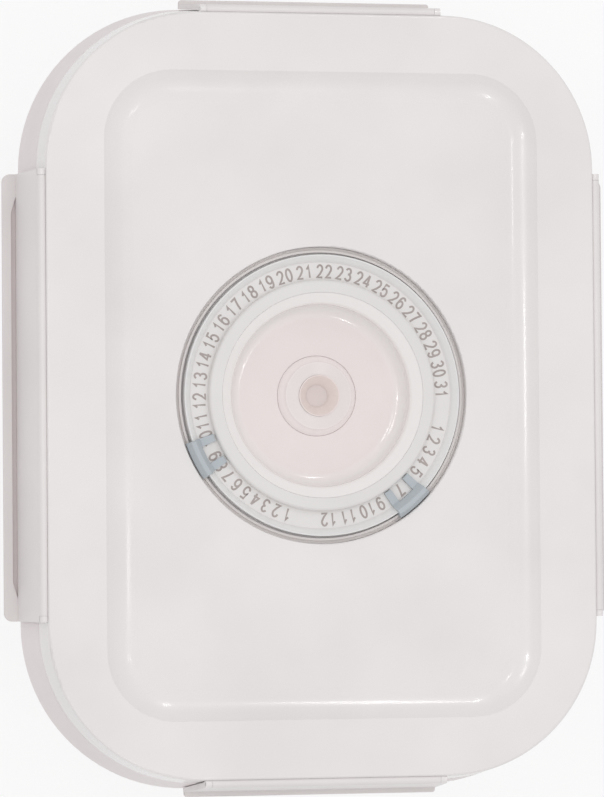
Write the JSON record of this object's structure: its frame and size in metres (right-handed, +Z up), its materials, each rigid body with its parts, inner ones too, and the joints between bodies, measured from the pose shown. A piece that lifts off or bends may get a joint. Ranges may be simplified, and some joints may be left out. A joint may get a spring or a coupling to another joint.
{
  "type": "vacuum food container",
  "caption": "Rectangular food keeper with a recessed lid, hinged snap latches on every side, a date dial with two sliders and an air valve in a round pump cup.",
  "frame": {"origin": "centre of the base, on the surface the container stands on", "axes": "+Z up, +X to the right side and +Y to the back of the lid, along its longer side, as the date dial is read in the picture"},
  "size_m": [0.1798, 0.2318, 0.09],
  "materials": {
    "container_plastic": "satin moulded",
    "lid_plastic": "fine matt moulded",
    "latch_plastic": "satin moulded",
    "gasket_silicone": "soft silicone",
    "pin_steel": "drawn wire",
    "dial_plastic": "fine matt moulded",
    "collar_plastic": "satin moulded",
    "track_plastic": "satin moulded",
    "slider_plastic": "satin moulded",
    "cup_plastic": "polished moulded",
    "seal_silicone": "soft silicone",
    "valve_silicone": "soft silicone",
    "valve_plastic": "moulded"
  },
  "bodies": {
    "container": {"container_body": "container_plastic"},
    "lid": {"lid_shell": "lid_plastic", "lid_gasket": "gasket_silicone", "hinge_pin_left": "pin_steel", "hinge_pin_right": "pin_steel", "hinge_pin_front": "pin_steel", "hinge_pin_back": "pin_steel", "number_ring": "dial_plastic", "dial_collar": "collar_plastic", "slider_track": "track_plastic", "pump_cup": "cup_plastic", "cup_seal": "seal_silicone"},
    "left_latch": {"latch_left": "latch_plastic"},
    "right_latch": {"latch_right": "latch_plastic"},
    "front_latch": {"latch_front": "latch_plastic"},
    "back_latch": {"latch_back": "latch_plastic"},
    "day_marker": {"day_slider": "slider_plastic"},
    "month_marker": {"month_slider": "slider_plastic"},
    "valve": {"valve_cap": "valve_silicone", "valve_stem": "valve_plastic", "valve_retainer": "valve_plastic"}
  },
  "joints": [
    {"name": "lid_lift", "type": "slide", "parent": "container", "child": "lid", "axis": [0, 0, 1], "range_m": [0, 0.06]},
    {"name": "left_latch_hinge", "type": "hinge", "parent": "lid", "child": "left_latch", "pos_m": [-0.0818, 0, 0.08845], "axis": [0, 1, 0], "range_deg": [0, 110]},
    {"name": "right_latch_hinge", "type": "hinge", "parent": "lid", "child": "right_latch", "pos_m": [0.0818, 0, 0.08845], "axis": [0, -1, 0], "range_deg": [0, 110]},
    {"name": "front_latch_hinge", "type": "hinge", "parent": "lid", "child": "front_latch", "pos_m": [0, -0.11105, 0.08845], "axis": [-1, 0, 0], "range_deg": [0, 110]},
    {"name": "back_latch_hinge", "type": "hinge", "parent": "lid", "child": "back_latch", "pos_m": [0, 0.11105, 0.08845], "axis": [1, 0, 0], "range_deg": [0, 110]},
    {"name": "day_slide", "type": "hinge", "parent": "lid", "child": "day_marker", "pos_m": [0, 0, 0.086], "axis": [0, 0, 1], "range_deg": [-203, 46]},
    {"name": "month_slide", "type": "hinge", "parent": "lid", "child": "month_marker", "pos_m": [0, 0, 0.086], "axis": [0, 0, 1], "range_deg": [-37, 34]},
    {"name": "valve_lift", "type": "slide", "parent": "lid", "child": "valve", "axis": [0, 0, 1], "range_m": [0, 0.0012], "stiffness_N_per_m": 300}
  ]
}
